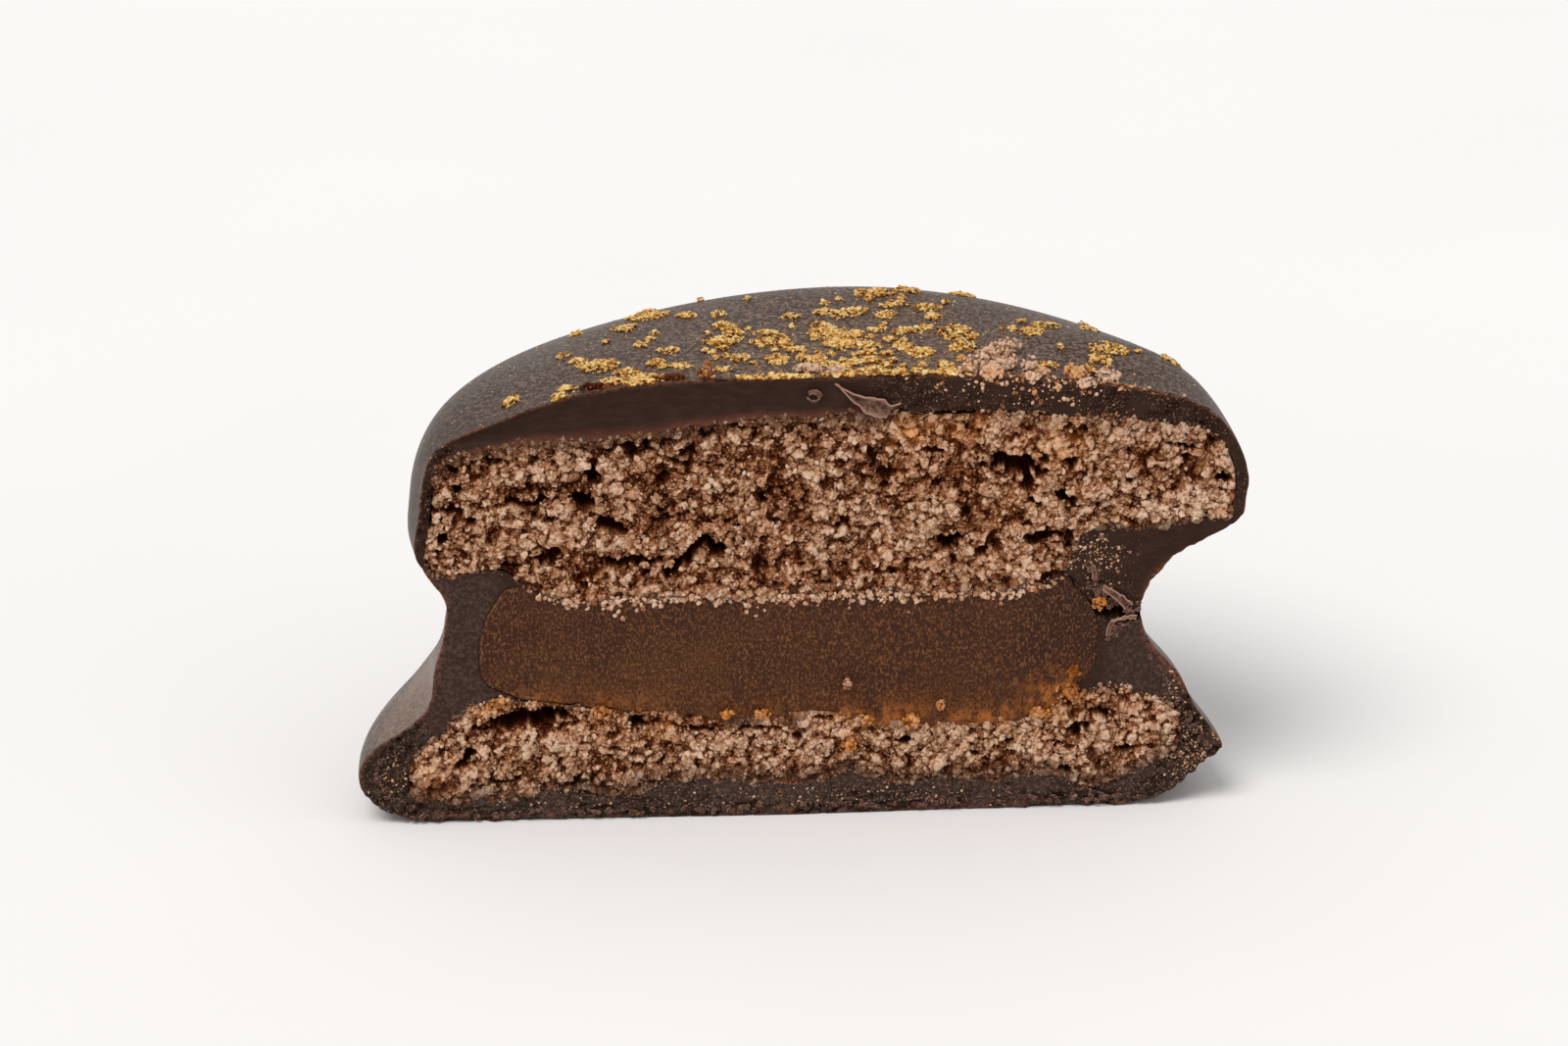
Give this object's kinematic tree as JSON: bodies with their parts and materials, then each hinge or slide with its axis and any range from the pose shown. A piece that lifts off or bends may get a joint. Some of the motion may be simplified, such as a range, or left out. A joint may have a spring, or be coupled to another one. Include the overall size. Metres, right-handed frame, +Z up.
{
  "type": "half alfajor cookie",
  "caption": "Chocolate-coated sandwich cookie cut in half, showing cocoa biscuit above and below a smooth caramel filling, with gold dust dabbed on its domed top.",
  "frame": {"origin": "middle of the bounding box's bottom face, on the flat base that the half stands on", "axes": "+Z up; +X along the cut face, from the left end to the right end as seen from the front; +Y into the cookie, so the cut face looks towards -Y"},
  "size_m": [0.0608, 0.0302, 0.0323],
  "materials": {
    "chocolate": "dark chocolate with a soft satin sheen, dabbed and dusted with gold",
    "cocoa_crumb": "dry, coarse, broken cocoa biscuit",
    "caramel": "smooth knife-cut caramel with a low gloss",
    "gold_dust": "edible gold dust in grainy dabs and fine specks"
  },
  "bodies": {
    "root": {"chocolate_coating": "chocolate", "lower_biscuit": "cocoa_crumb", "caramel_filling": "caramel", "upper_biscuit": "cocoa_crumb"}
  },
  "joints": []
}
